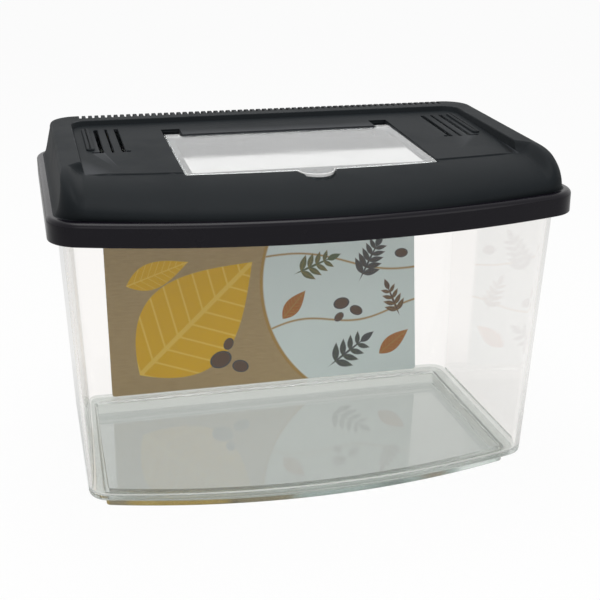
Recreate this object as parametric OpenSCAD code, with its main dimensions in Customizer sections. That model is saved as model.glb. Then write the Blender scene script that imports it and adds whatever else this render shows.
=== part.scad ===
// Plastic pet keeper: a clear bow-fronted tank, a black vented lid that lifts off,
// a clear hinged hatch in the lid, and a printed card that stands against the back wall.
// The origin is on the surface that the tank stands on, in the middle of the lid's box.
// X runs across the width, -Y is the bowed front, +Z is up.

/* [Lid rim] */
// Width of the lid over its rim
lid_w = 300; // [260:1:340]
// Depth of the lid over its rim, at the middle of the bow
lid_d = 222; // [195:1:250]
// How far the front of the rim bows out over its full width
rim_bow = 27; // [20:1:34]
// Corner radius of the rim in plan
rim_r = 22; // [16:1:28]
// Height of the rim band
rim_h = 13; // [10:0.5:18]
// Width of the ledge between the rim band and the dome
rim_ledge = 4.1; // [3.5:0.1:7]
// Radius of the rim band's rounded upper edge
rim_round = 2.8; // [2:0.1:3.2]
// Wall of the lid
lid_wall = 2; // [1.5:0.1:2.5]

/* [Lid dome] */
// Height of the dome from the rim to the border, at the back edge
dome_h = 25.8; // [22:0.2:30]
// How much lower the border is at the crease than at its back edge
dome_fall = 5; // [2:0.2:8]
// Setback of the dome's side walls at the top
side_set = 7.6; // [5:0.2:10]
// Setback of the dome's back wall at the top
back_set = 28.3; // [22:0.1:34]
// Length of the sloping visor from the dome's foot to the crease, along the middle
visor_l = 49.4; // [42:0.2:56]
// How far the crease at the top of the visor bows out
crease_bow = 11; // [6:0.5:16]
// Corner radius of the dome's top at its front corners
crease_r = 3.6; // [3:0.2:10]
// Corner radius of the dome's top at its back corners
top_r = 15; // [10:0.5:18]
// Width of the raised border at the sides
border_w = 10; // [7:0.5:14]
// Width of the raised border at the back
border_back = 14; // [11:0.5:17]
// Depth of the panel below the border at its back edge
panel_drop = 2.9; // [2:0.1:3.6]
// Depth of the panel below the border at the crease
crease_drop = 5.2; // [4:0.1:6]
// Width of the slope between the border and the panel
step_w = 1.2; // [0.8:0.1:2.5]
// Width over which the border's front ends blend into the visor, on each side of its inner edge
fender_w = 6; // [3:0.5:8]
// Corner radius of the panel at its back corners
panel_r = 10; // [8:0.5:14]

/* [Vents] */
// Spacing of the comb slots along the back edge
comb_pitch = 4.1; // [3.6:0.1:6]
// Width of one comb slot
comb_slot = 2; // [1.4:0.1:2.4]
// Height that the comb slots are cut down the back wall
comb_drop = 8; // [7:0.5:9]
// Solid width left between the border's inner edge and the comb slots
comb_front = 8; // [5:0.2:9]
// Solid length left beyond the comb at each end
comb_end = 16; // [14:1:30]
// Number of long vent slots in each wing of the lid
wing_n = 3; // [1:1:4]
// Spacing of the wing slots
wing_pitch = 6.4; // [5:0.1:7]
// Width of the first and the last wing slot
wing_slot = 2.6; // [2:0.1:3]
// Width of the wing slots between them
wing_thin = 1.4; // [1:0.1:2.6]
// Length of a wing slot
wing_l = 56; // [40:1:66]
// Distance from the panel's back edge to the slots
wing_back = 11.4; // [8:0.2:18]
// Distance from the panel's side to the middle of the raised rib beside the slots
rib_edge = 7; // [6:0.1:8]
// Width of the raised rib
rib_w = 4.6; // [3:0.2:6]
// Height of the raised rib
rib_h = 1.2; // [0.8:0.1:2]
// Distance from the middle of the rib to the nearest slot
rib_pitch = 6.2; // [5:0.1:7]
// Length of the outermost slot's foot, which turns outwards at its front end
wing_foot = 7; // [5:0.5:11]
// Diameter of the round hole at the front end of the innermost slot
air_hole = 3; // [2:0.2:4]

/* [Hatch] */
// Width of the hatch
hatch_w = 145; // [120:1:160]
// Length of the hatch from its back edge to the middle of its front edge
hatch_l = 91.4; // [78:0.2:98]
// How far the hatch's back edge lies below the panel
hatch_sink = 1; // [0:0.1:1.2]
// Thickness of the hatch
hatch_t = 2; // [1.6:0.1:2.4]
// How far the hatch's front edge stands out past the crease
hatch_over = 3.7; // [2:0.1:5]
// Width of the thumb tab
tab_w = 21; // [16:1:30]
// How far the thumb tab stands out
tab_l = 10; // [7:0.5:13]
// Radius of the round dish for a fingertip under the tab
dish_r = 14; // [12:0.5:18]
// Depth of that dish
dish_d = 4; // [3:0.2:5]
// Width of one hinge ear
ear_w = 9.4; // [8:0.2:14]
// Radius of the hinge knuckle
knuckle_r = 1.9; // [1.7:0.1:2.2]
// Distance from the hatch's back edge to the hinge axis
knuckle_back = 5.8; // [5.6:0.2:8]
// Gap behind the knuckles in their pockets
ear_gap = 7; // [4.6:0.2:9]
// Radius of the hinge pin
pin_r = 1.2; // [1:0.05:1.4]
// Length of the hinge pin outside the ear
pin_l = 3.4; // [2.5:0.1:4.5]
// Depth of the blind socket past the end of the hinge pin
socket_end = 0.6; // [0.3:0.1:1]
// Width of the ledge that the hatch rests on
hatch_ledge = 4; // [3:0.5:6]

/* [Tank] */
// Height from the surface to the lower edge of the lid's rim
rim_z = 171; // [140:1:200]
// Half the difference in width between the top and the base of the tank walls
taper_x = 6.4; // [4:0.2:9]
// The same taper at the back wall
taper_back = 16.5; // [10:0.5:19]
// The same taper at the middle of the front wall
taper_front = 20.9; // [14:0.5:24]
// How far the front of the base bows out
base_bow = 19; // [14:1:25]
// Corner radius of the walls at the base
base_r = 13; // [12:1:18]
// Wall of the tank
tank_wall = 2.2; // [1.6:0.1:2.8]
// Thickness of the floor
floor_t = 2.6; // [2:0.1:3.5]
// Height of the foot below the walls
foot_h = 8.6; // [6:0.2:11]
// Inset of the foot from the walls
foot_in = 10; // [8:0.5:12]
// Radius of the heel between the walls and the floor
heel_r = 3.6; // [2.8:0.2:5]
// Setback of the top of the walls from the lid's rim
lip_reach = 7.6; // [6:0.2:9]
// Thickness of the lip round the tank's mouth
lip_t = 3.2; // [2.4:0.1:4]

/* [Card] */
// Width of the card
card_w = 224; // [180:1:235]
// Height of the card
card_h = 150; // [110:1:155]
// Thickness of the card
card_t = 0.8; // [0.6:0.1:1.2]
// Distance of the card's middle to the right of the tank's middle
card_x = 1; // [-3:0.5:3]

/* [Fits] */
// Gap between the tank's lip and the inside of the lid's rim
lip_gap = 0.8; // [0.5:0.1:1.2]
// Gap under the lid where it sits on the lip
seat_gap = 0.2; // [0.1:0.05:0.4]
// Gap round the hatch in its recess
hatch_gap = 0.8; // [0.5:0.1:1]
// Gap under the hatch where it sits on its ledge
hatch_seat = 0.25; // [0.15:0.05:0.4]
// Radial clearance of the hinge pins in their sockets
pin_gap = 0.05; // [0.03:0.01:0.08]
// Gap between the card and the tank
card_gap = 0.25; // [0.15:0.05:0.3]

/* [Hidden] */
$fn = 48;

// Overlap and overrun that keep cuts clean
eps = 0.01;
over = 5;

// Steps in one corner, in the bow and in the rounded edges of each shell
CORNER_STEPS = 7;
BOW_STEPS = 26;
EDGE_STEPS = 3;

// Radius of the small rounded edges of the shells
edge_r = 0.8;

// The plan outline of every shell: half width, back, front at the middle, bow, and the corner
// radius at the front and at the back
rim_plan = [lid_w / 2, lid_d / 2, lid_d / 2, rim_bow, rim_r, rim_r];

function inset(p, d) = [p[0] - d, p[1] - d, p[2] - d, p[3], max(p[4] - d, 2), max(p[5] - d, 2)];

// An arc of a circle in plan
function arc(c, r, from, to, steps) = [
    for (i = [0 : steps])
        let (a = from + (to - from) * i / steps)
            [c[0] + r * cos(a), c[1] + r * sin(a)]
];

// Closed outline: straight back and sides, one large arc across the front, and round corners
function outline(p) =
    let (
        a = p[0],
        r = p[4],
        rear = p[5],
        bow_r = (a * a + p[3] * p[3]) / (2 * p[3]),
        bow_y = bow_r - p[2],
        turn = acos((a - r) / (bow_r - r)),
        front_y = bow_y - (bow_r - r) * sin(turn),
        front = arc([0, bow_y], bow_r, 180 + turn, 360 - turn, BOW_STEPS)
    )
    concat(
        arc([a - rear, p[1] - rear], rear, 0, 90, CORNER_STEPS),
        arc([rear - a, p[1] - rear], rear, 90, 180, CORNER_STEPS),
        arc([r - a, front_y], r, 180, 180 + turn, CORNER_STEPS),
        [for (i = [1 : BOW_STEPS - 1]) front[i]],
        arc([a - r, front_y], r, 360 - turn, 360, CORNER_STEPS)
    );

// A ring of points at one height
function level(p, z) = [for (q = outline(p)) [q[0], q[1], z]];

// Rounded edge of radius r, as pairs of [inset, rise], from upright to flat
function round_over(r) = [
    for (i = [0 : EDGE_STEPS])
        let (a = 90 * i / EDGE_STEPS)
            [r * (1 - cos(a)), r * sin(a)]
];

// Joins a stack of rings into one closed solid
module loft(rings) {
    n = len(rings[0]);
    m = len(rings);
    polyhedron(
        points = [for (ring = rings) for (q = ring) q],
        faces = concat(
            [[for (i = [0 : n - 1]) i]],
            [for (k = [0 : m - 2]) for (i = [0 : n - 1]) [k * n + i, k * n + n + i, k * n + (i + 1) % n]],
            [
                for (k = [0 : m - 2]) for (i = [0 : n - 1])
                    [k * n + (i + 1) % n, k * n + n + i, k * n + n + (i + 1) % n]
            ],
            [[for (i = [n - 1 : -1 : 0]) (m - 1) * n + i]]
        )
    );
}

// Heights and slopes of the lid
dome_z = rim_z + rim_h;
dome_plan = inset(rim_plan, rim_ledge);
seat_z = dome_z - lid_wall;
top_half = dome_plan[0] - side_set;
top_back = dome_plan[1] - back_set;
crease_y = visor_l - dome_plan[2];
border_slope = dome_fall / (top_back - crease_y);
function border_z(y) = dome_z + dome_h - border_slope * (top_back - y);

// Sides and back of the flat panel, at its foot, and its slope down to the crease
panel_half = top_half - border_w - step_w;
panel_back = top_back - border_back - step_w;
crease_z = border_z(crease_y) - crease_drop;
panel_slope = (border_z(panel_back) - panel_drop - crease_z) / (panel_back - crease_y);
function panel_z(y) = crease_z + panel_slope * (y - crease_y);

// Height of the dome's top over a point: the border's, and between the border's front ends the
// panel's. The ends blend into the visor, and s from 0 to 1 is how far this has become a clean edge
function fender(x, s) = min(max((abs(x) - panel_half - step_w + fender_w) / (fender_w * (2 - s)), 0), 1);
function top_z(x, y, s) = y > 0 ? border_z(y) : panel_z(y) + fender(x, s) * (border_z(y) - panel_z(y));

// Shape of the dome's walls. Each wall moves in by its setback times a share of it, which depends
// on t, the share of the height. The visor is a quarter of an ellipse. The other walls rise to the
// knee with a share of their setback, and round over above it
KNEE = 0.8;
SIDE_KNEE = 0.65;
BACK_KNEE = 0.74;
SIDE_POWER = 0.5;
BACK_POWER = 1.9;
BOW_POWER = 0.41;
FRONT_POWER = 1.3;
DOME_STEPS = 9;
CROWN_STEPS = 3;
dome_t = [for (i = [0 : DOME_STEPS]) sin(90 * i / DOME_STEPS)];
function visor_share(t) = 1 - sqrt(1 - t * t);
function wall_share(t, knee, power) =
    t < KNEE
        ? knee * pow(t / KNEE, power)
        : 1 - (1 - knee) * sqrt(1 - pow((t - KNEE) / (1 - KNEE), 2));

// Plan of the dome at share t of its height
function dome_ring_plan(t) = [
    dome_plan[0] - side_set * wall_share(t, SIDE_KNEE, SIDE_POWER),
    dome_plan[1] - back_set * wall_share(t, BACK_KNEE, BACK_POWER),
    dome_plan[2] - visor_l * visor_share(t),
    dome_plan[3] + (crease_bow - dome_plan[3]) * pow(visor_share(t), BOW_POWER),
    dome_plan[4] + (crease_r - dome_plan[4]) * pow(t, FRONT_POWER),
    dome_plan[5] + (top_r - dome_plan[5]) * t
];

// A ring of the dome's outside at share t of its height, and one of the hollow under the panel
function dome_ring(t) = [
    for (q = outline(dome_ring_plan(t))) [q[0], q[1], dome_z + t * (top_z(q[0], q[1], 0) - dome_z)]
];
hollow_t = (panel_z(panel_back) - dome_z) / (border_z(panel_back) - dome_z);
function hollow_ring(t) =
    let (p = dome_ring_plan(t), w = dome_ring_plan(t * hollow_t))
    [
        for (q = outline(inset([w[0], w[1], p[2], p[3], p[4], w[5]], lid_wall)))
            [q[0], q[1], dome_z + t * (panel_z(q[1]) - dome_z) - (t == 0 ? lid_wall - eps : lid_wall)]
    ];

// Places a child on the lid's panel: z is 0 on its surface, y runs along it from the middle
module on_panel() {
    translate([0, 0, panel_z(0)]) rotate([atan(panel_slope), 0, 0]) children();
}

// Places a child on the hatch's own plane, which sinks below the panel from the crease to the back
module on_hatch() {
    translate([0, 0, crease_z - hatch_slope * crease_y]) rotate([atan(hatch_slope), 0, 0]) children();
}

// Sizes of the hatch on its plane
hatch_front = crease_y - hatch_over;
hatch_back = hatch_front + hatch_l;
hatch_slope = panel_slope - hatch_sink / (hatch_back - crease_y);
hinge_y = hatch_back + knuckle_back;
hinge_z = -knuckle_r;
hole_w = hatch_w - 2 * hatch_ledge;
hole_front = crease_y + hatch_ledge;
hole_back = hatch_back - hatch_ledge;
recess_d = hatch_t + hatch_seat;
pocket_w = ear_w + 2 * hatch_gap;
pocket_d = 2 * knuckle_r + hatch_gap / 2;
pocket_end = hinge_y + knuckle_r + ear_gap;
socket_l = pin_l - hatch_gap + socket_end;
crease_bow_r = (top_half * top_half + crease_bow * crease_bow) / (2 * crease_bow);
tab_y = hatch_front - tab_l + tab_w / 2;

// Sizes of the tank
wall_top_plan = [
    rim_plan[0] - lip_reach,
    rim_plan[1] - lip_reach,
    rim_plan[2] - lip_reach,
    rim_bow,
    rim_r - lip_reach / 2,
    rim_r - lip_reach / 2
];
mouth_z = seat_z - seat_gap;
wall_z = foot_h + heel_r;
base_plan = [
    wall_top_plan[0] - taper_x,
    wall_top_plan[1] - taper_back,
    wall_top_plan[2] - taper_front,
    base_bow,
    base_r,
    base_r
];
lip_plan = inset(rim_plan, lid_wall + lip_gap);
wall_run = mouth_z - lip_t - wall_z;
lean = atan(taper_back / wall_run);
ledge_z = foot_h + floor_t;
foot_plan = inset(base_plan, foot_in);
foot_draft = 0.4;
well_plan = inset(foot_plan, tank_wall);
wall_in_top = inset(wall_top_plan, tank_wall);
wall_in_base = inset(base_plan, tank_wall);

// The card's foot stands clear of the heel's curve, and its top leans back against the wall
card_out = heel_r * 0.75;
card_lean = asin(card_out / card_h);

// Clear tank: walls, stepped floor with its foot, and the lip round the mouth
module tank() {
    color([0.86, 0.9, 0.9, 0.35])
        difference() {
            loft(concat(
                [
                    level(inset(foot_plan, edge_r), 0),
                    level(foot_plan, edge_r),
                    level(inset(foot_plan, -foot_draft), foot_h - 2 * edge_r),
                    level(inset(foot_plan, -foot_draft - 2 * edge_r), foot_h)
                ],
                heel(base_plan, heel_r, wall_z),
                [
                    level(wall_top_plan, mouth_z - lip_t),
                    level(lip_plan, mouth_z - lip_t + edge_r / 2),
                    level(lip_plan, mouth_z)
                ]
            ));
            loft(concat(
                [
                    level(inset(well_plan, 1.2 * edge_r), floor_t),
                    level(inset(well_plan, -foot_draft), floor_t + 1.2 * edge_r),
                    level(inset(well_plan, -1.2 * edge_r), ledge_z - 1.2 * edge_r),
                    level(inset(well_plan, -3 * edge_r), ledge_z)
                ],
                heel(wall_in_base, heel_r, ledge_z + heel_r),
                [
                    level(wall_in_top, mouth_z - lip_t),
                    level(wall_in_top, mouth_z + over)
                ]
            ));
        }
}

// Rings of the rounded heel below a wall that starts at plan p and height z, from the bottom up
function heel(p, r, z) =
    let (edge = round_over(r))
    [
        for (i = [EDGE_STEPS : -1 : 0])
            level(inset(p, edge[i][0]), z - edge[i][1] + (i == EDGE_STEPS ? r / 20 : 0))
    ];

// Black lid: rim, dome, raised border, panel with its vents, and the seat for the hatch
module lid() {
    color([0.2, 0.22, 0.235])
        difference() {
            lid_outside();
            difference() {
                lid_inside();
                on_hatch() hatch_frame();
            }
            on_panel() panel_recess();
            on_hatch() hatch_recess();
            on_panel() wing_vents();
            comb_vents();
        }
    color([0.2, 0.22, 0.235]) on_panel() wing_ribs();
}

module lid_outside() {
    crown = dome_ring_plan(1);
    run = fender_w * 2;
    loft(concat(
        [level(inset(rim_plan, edge_r / 2), rim_z), level(rim_plan, rim_z + edge_r)],
        [for (q = round_over(rim_round)) level(inset(rim_plan, q[0]), dome_z - rim_round + q[1])],
        [for (t = dome_t) dome_ring(t)],
        [
            for (k = [1 : CROWN_STEPS])
                let (s = k / CROWN_STEPS)
                    [for (q = outline(inset(crown, run * s))) [q[0], q[1], top_z(q[0], q[1], s)]]
        ],
        [[for (q = outline(inset(crown, run + edge_r))) [q[0], q[1], border_z(q[1])]]]
    ));
}

// The hollow under the lid: the rim's inside, the flat seat, and the inside of the dome
module lid_inside() {
    band = inset(rim_plan, lid_wall);
    loft(concat(
        [level(band, rim_z - over), level(band, seat_z)],
        [for (t = dome_t) hollow_ring(t)]
    ));
}

// The space above the panel, open at the front where the visor meets the crease
module panel_recess() {
    loft([
        recess_ring(0, 0),
        recess_ring(step_w, crease_drop),
        recess_ring(step_w, crease_drop + over)
    ]);
}

// A ring of the panel's outline at height z, widened by grow, that runs out past the visor
function recess_ring(grow, z) =
    let (half = panel_half + grow, back = panel_back + grow, r = panel_r)
    [
        for (q = concat(
            [[half, -lid_d]],
            arc([half - r, back - r], r, 0, 90, CORNER_STEPS),
            arc([r - half, back - r], r, 90, 180, CORNER_STEPS),
            [[-half, -lid_d]]
        )) [q[0], q[1], z]
    ];

// Thickened frame under the hatch, with a block for the hinge socket at each back corner, and the
// boss of the finger dish
module hatch_frame() {
    frame_w = hatch_w + 2 * (hatch_gap + lid_wall);
    frame_t = recess_d + lid_wall;
    block_t = pocket_d + lid_wall;
    block_l = socket_l + lid_wall;
    block_w = pocket_w + lid_wall + block_l;
    block_front = hatch_back - hatch_ledge;
    frame_front = hatch_front - hatch_gap - lid_wall;
    tab_block = tab_w + 2 * (hatch_gap + lid_wall);
    difference() {
        translate([-frame_w / 2, frame_front, -frame_t])
            cube([frame_w, hatch_back + hatch_gap + lid_wall - frame_front, frame_t]);
        translate([-hole_w / 2, hole_front, -frame_t - over])
            cube([hole_w, hole_back - hole_front, frame_t + 2 * over]);
    }
    translate([-tab_block / 2, frame_front - tab_l, -frame_t])
        cube([tab_block, tab_l + hatch_gap, frame_t]);
    finger_dish(lid_wall);
    for (s = [-1, 1])
        translate([s * (hatch_w / 2 - (pocket_w + lid_wall - block_l) / 2), 0, 0])
            translate([-block_w / 2, block_front, -block_t])
                cube([block_w, pocket_end + lid_wall - block_front, block_t]);
}

// Ball that the finger dish is part of, grown by a wall
module finger_dish(wall) {
    translate([0, hatch_front - tab_l, dish_r - dish_d]) sphere(r = dish_r + wall);
}

// Seat of the hatch, with its hole, the tab's pocket and dish, hinge pockets and pin sockets
module hatch_recess() {
    wide = hatch_w + 2 * hatch_gap;
    translate([0, 0, -recess_d]) linear_extrude(recess_d + over) hatch_plate(hatch_gap);
    translate([0, tab_y, -recess_d]) cylinder(d = tab_w + 2 * hatch_gap, h = recess_d + over);
    finger_dish(0);
    translate([-hole_w / 2, hole_front, -recess_d - lid_wall - over])
        cube([hole_w, hole_back - hole_front, recess_d + lid_wall + 2 * over]);
    for (s = [-1, 1]) {
        translate([s * (wide - pocket_w) / 2, 0, 0])
            translate([-pocket_w / 2, hatch_back - eps, -pocket_d])
                cube([pocket_w, pocket_end - hatch_back + eps, pocket_d + over]);
        translate([s * (wide / 2 - lid_wall / 2), hinge_y, hinge_z])
            rotate([0, s * 90, 0])
                cylinder(r = pin_r + pin_gap, h = socket_l + lid_wall / 2);
    }
}

// Long vent slots in both wings of the panel: the outermost turns outwards at its front end,
// and the innermost has a round hole there
module wing_vents() {
    for (s = [-1, 1]) {
        for (i = [0 : wing_n - 1])
            translate([s * wing_x(i), wing_y, -over])
                slot(i == 0 || i == wing_n - 1 ? wing_slot : wing_thin, wing_l, 2 * over);
        translate([s * (wing_x(0) + (wing_foot - wing_slot) / 2), wing_y - (wing_l - wing_slot) / 2, -over])
            rotate(90) slot(wing_slot, wing_foot, 2 * over);
        translate([s * (wing_x(wing_n - 1) - wing_slot), wing_y - (wing_l - air_hole) / 2, -over])
            cylinder(d = air_hole, h = 2 * over);
    }
}

// Middle of the wing slots, and the distance of slot i from the lid's middle
wing_y = panel_back - wing_back - wing_l / 2;
rib_x = panel_half - rib_edge;
function wing_x(i) = rib_x - rib_pitch - i * wing_pitch;

// A raised rib with round ends on the outer side of each group of slots, behind the turned foot
module wing_ribs() {
    l = wing_l - 2 * wing_slot;
    for (s = [-1, 1])
        translate([s * rib_x, wing_y + (wing_l - l) / 2, -lid_wall / 2])
            slot(rib_w, l, rib_h + lid_wall / 2);
}

// A long shape with round ends, along y
module slot(w, l, h) {
    translate([-w / 2, -(l - w) / 2, 0]) cube([w, l - w, h]);
    for (e = [-1, 1])
        translate([0, e * (l - w) / 2, 0]) cylinder(d = w, h = h);
}

// Comb of slots over the back edge, from the border down the back wall
module comb_vents() {
    half = top_half - comb_end;
    n = floor(2 * half / comb_pitch);
    front = top_back - border_back + comb_front;
    for (i = [0 : n])
        translate([(i - n / 2) * comb_pitch - comb_slot / 2, front, border_z(top_back) - comb_drop])
            cube([comb_slot, lid_d / 2 - front, comb_drop + over]);
}

// Clear hatch: plate with a thumb tab, and two ears with knuckles and pins
module hatch() {
    color([0.82, 0.86, 0.88, 0.55])
        on_hatch() {
            translate([0, 0, -hatch_t]) linear_extrude(hatch_t) {
                hatch_plate(0);
                hatch_tab();
            }
            for (s = [-1, 1]) {
                x0 = s > 0 ? hatch_w / 2 - ear_w : -hatch_w / 2;
                translate([x0, hatch_back - hatch_t, -hatch_t])
                    cube([ear_w, knuckle_back + hatch_t, hatch_t]);
                translate([x0, hinge_y, hinge_z])
                    rotate([0, 90, 0]) cylinder(r = knuckle_r, h = ear_w);
                translate([s * (hatch_w / 2 - ear_w / 2), hinge_y, hinge_z])
                    rotate([0, s * 90, 0]) cylinder(r = pin_r, h = pin_l + ear_w / 2);
            }
        }
}

// Outline of the hatch's plate: straight sides and back, and a front edge that follows the crease
module hatch_plate(grow) {
    intersection() {
        translate([0, hatch_front + crease_bow_r]) circle(r = crease_bow_r + grow, $fn = 720);
        translate([-hatch_w / 2 - grow, hatch_front - over])
            square([hatch_w + 2 * grow, hatch_l + over + grow]);
    }
}

// Round thumb tab in the middle of the front edge
module hatch_tab() {
    intersection() {
        translate([0, tab_y]) circle(d = tab_w);
        translate([-tab_w / 2, hatch_front - tab_l]) square([tab_w, tab_l + hatch_over]);
    }
}

// Printed card that stands on the floor ledge and leans on the back wall
module card() {
    color([0.66, 0.6, 0.47])
        translate([card_x, wall_in_base[1], ledge_z + heel_r])
            rotate([-lean, 0, 0])
                translate([-card_w / 2, -card_gap - card_out, card_gap - heel_r])
                    rotate([-card_lean, 0, 0])
                        translate([0, -card_t, 0]) cube([card_w, card_t, card_h]);
}

tank();
lid();
hatch();
card();
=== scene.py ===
"""A plastic pet keeper: clear bow-fronted tank, black vented lid, clear hinged hatch and printed card.

The sections follow the object as it is put together: the studio, the tank, the card that is slipped
into it, the lid that goes on top, and the hatch that snaps into the lid. Lengths are in millimetres
until a mesh is made, because that is how the mouldings are drawn.
"""
import math

import bpy
import numpy as np
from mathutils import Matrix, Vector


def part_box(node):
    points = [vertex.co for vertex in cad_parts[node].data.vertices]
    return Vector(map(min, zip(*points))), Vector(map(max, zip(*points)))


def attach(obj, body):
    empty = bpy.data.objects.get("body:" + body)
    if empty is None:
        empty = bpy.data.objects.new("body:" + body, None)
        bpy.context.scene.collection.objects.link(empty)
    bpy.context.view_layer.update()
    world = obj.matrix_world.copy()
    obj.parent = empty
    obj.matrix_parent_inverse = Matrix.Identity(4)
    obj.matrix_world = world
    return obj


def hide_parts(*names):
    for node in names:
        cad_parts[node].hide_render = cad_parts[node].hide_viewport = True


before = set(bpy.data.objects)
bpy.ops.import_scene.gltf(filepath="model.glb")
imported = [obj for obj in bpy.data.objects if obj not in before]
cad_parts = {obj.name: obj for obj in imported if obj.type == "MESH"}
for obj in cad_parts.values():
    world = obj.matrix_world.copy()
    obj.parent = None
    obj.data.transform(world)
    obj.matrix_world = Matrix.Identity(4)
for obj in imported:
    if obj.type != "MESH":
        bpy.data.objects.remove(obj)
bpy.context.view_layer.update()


# Studio
# A pale table and a white room, one large soft lamp overhead, two weaker ones in front.
# The table and the room are white to the camera, and light the object at a plain level.
MM = 0.001
WHITE = (1.0, 1.0, 1.0, 1.0)
CAMERA_PLACE = (-159.4, -682.9, 343.7)
CAMERA_YAW = 13.56
CAMERA_PITCH = 19.05
CAMERA_LENS = 70.19
SENSOR = 36.0
TABLE_SIZE = 16.0
TABLE_COLOUR = (0.9, 0.9, 0.89, 1.0)
TABLE_GLOW = 0.95
TABLE_GLOW_IN_PLASTIC = 0.9
TABLE_GLOW_MIRRORED = 0.2
TABLE_GAP = 0.0002
ROOM_LIGHT = 0.3
LAMP_SIZE = 0.9
LAMP_AIM = (0.0, 0.0, 0.1)
LAMPS = (
    ("overhead_lamp", (-0.1, 0.0, 1.3), 11.0),
    ("left_lamp", (-0.6, -1.3, 0.7), 4.0),
    ("right_lamp", (0.8, -1.2, 0.6), 4.0),
)


def feed(tree, socket, value):
    """Links a socket to another node's output, or sets it to a plain value."""
    if isinstance(value, bpy.types.NodeSocket):
        tree.links.new(value, socket)
    else:
        socket.default_value = value


def node(tree, kind, **settings):
    """Adds a shader node; a setting that is one of its sockets goes there, any other to the node."""
    made = tree.nodes.new("ShaderNode" + kind)
    for name, value in settings.items():
        socket = name.replace("_", " ")
        if socket in made.inputs:
            feed(tree, made.inputs[socket], value)
        else:
            setattr(made, name, value)
    return made


def wire(tree, source, target):
    """Joins the first output of one node to the first input of another."""
    feed(tree, target.inputs[0], source.outputs[0])
    return target


def maths(tree, operation, first, second=0.5, third=None, clamp=False):
    """A Math node whose operands are numbers or output sockets; returns its output socket."""
    made = node(tree, "Math", operation=operation, use_clamp=clamp)
    for socket, value in zip(made.inputs, (first, second, third)):
        if value is not None:
            feed(tree, socket, value)
    return made.outputs[0]


def blend_shaders(tree, share, first, second, output):
    """Sends the mix of two shaders, by the share of the second, to the material's output."""
    mix = node(tree, "MixShader")
    for socket, value in zip(mix.inputs, (share, first.outputs[0], second.outputs[0])):
        feed(tree, socket, value)
    wire(tree, mix, output)


def new_material(name):
    """An empty node material, with its output node."""
    material = bpy.data.materials.new(name)
    material.use_nodes = True
    material.node_tree.nodes.clear()
    return material, material.node_tree, material.node_tree.nodes.new("ShaderNodeOutputMaterial")


def seen_share(tree, direct, through, mirrored):
    """The first share for rays from the camera, the second for those through clear plastic, the
    third for those that gloss has mirrored, and 0 for all others and for what a matt surface gets."""
    rays = node(tree, "LightPath").outputs
    passed = maths(tree, "MAXIMUM", rays["Is Transmission Ray"], rays["Is Glossy Ray"])
    straight = maths(tree, "LESS_THAN", rays["Glossy Depth"], 0.5)
    share = maths(tree, "MULTIPLY_ADD", straight, through - mirrored, mirrored)
    camera = maths(tree, "MULTIPLY", rays["Is Camera Ray"], direct)
    seen = maths(tree, "MAXIMUM", camera, maths(tree, "MULTIPLY", passed, share))
    return maths(tree, "MULTIPLY", seen, maths(tree, "LESS_THAN", rays["Diffuse Depth"], 0.5))


def make_camera():
    """The photograph's camera: level, turned right by the yaw and down by the pitch."""
    data = bpy.data.cameras.new("camera")
    data.sensor_width = SENSOR
    data.lens = CAMERA_LENS
    camera = bpy.data.objects.new("camera", data)
    camera.location = [value * MM for value in CAMERA_PLACE]
    camera.rotation_euler = (math.radians(90 - CAMERA_PITCH), 0, -math.radians(CAMERA_YAW))
    bpy.context.scene.collection.objects.link(camera)
    bpy.context.scene.camera = camera


def make_room():
    """White to the camera, in gloss and through clear plastic; a plain level of light elsewhere."""
    world = bpy.data.worlds.new("room")
    world.use_nodes = True
    bpy.context.scene.world = world
    tree = world.node_tree
    tree.nodes.clear()
    strength = maths(tree, "MULTIPLY_ADD", seen_share(tree, 1.0, 1.0, 1.0), 1 - ROOM_LIGHT, ROOM_LIGHT)
    sky = node(tree, "Background", Color=WHITE, Strength=strength)
    wire(tree, sky, node(tree, "OutputWorld"))


def make_table():
    """A wide pale table top. To the camera it glows nearly white, and keeps a faint shadow."""
    half = TABLE_SIZE / 2
    mesh = bpy.data.meshes.new("table")
    corners = [(x * half, y * half, -TABLE_GAP) for x, y in ((-1, -1), (1, -1), (1, 1), (-1, 1))]
    mesh.from_pydata(corners, [], [(0, 1, 2, 3)])
    table = bpy.data.objects.new("table", mesh)
    bpy.context.scene.collection.objects.link(table)
    material, tree, output = new_material("table_top")
    matt = node(tree, "BsdfDiffuse", Color=TABLE_COLOUR)
    glow = node(tree, "Emission", Color=WHITE, Strength=1.0)
    share = seen_share(tree, TABLE_GLOW, TABLE_GLOW_IN_PLASTIC, TABLE_GLOW_MIRRORED)
    blend_shaders(tree, share, matt, glow, output)
    mesh.materials.append(material)


def soft_lamp(name, place, watts):
    """A square area lamp that faces the tank's middle; its place is in metres."""
    data = bpy.data.lights.new(name, "AREA")
    data.size = LAMP_SIZE
    data.energy = watts
    lamp = bpy.data.objects.new(name, data)
    lamp.location = place
    direction = Vector(LAMP_AIM) - Vector(place)
    lamp.rotation_euler = direction.to_track_quat("-Z", "Y").to_euler()
    bpy.context.scene.collection.objects.link(lamp)


make_camera()
make_room()
make_table()
for lamp_settings in LAMPS:
    soft_lamp(*lamp_settings)
bpy.context.scene.view_settings.view_transform = "Standard"


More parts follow.
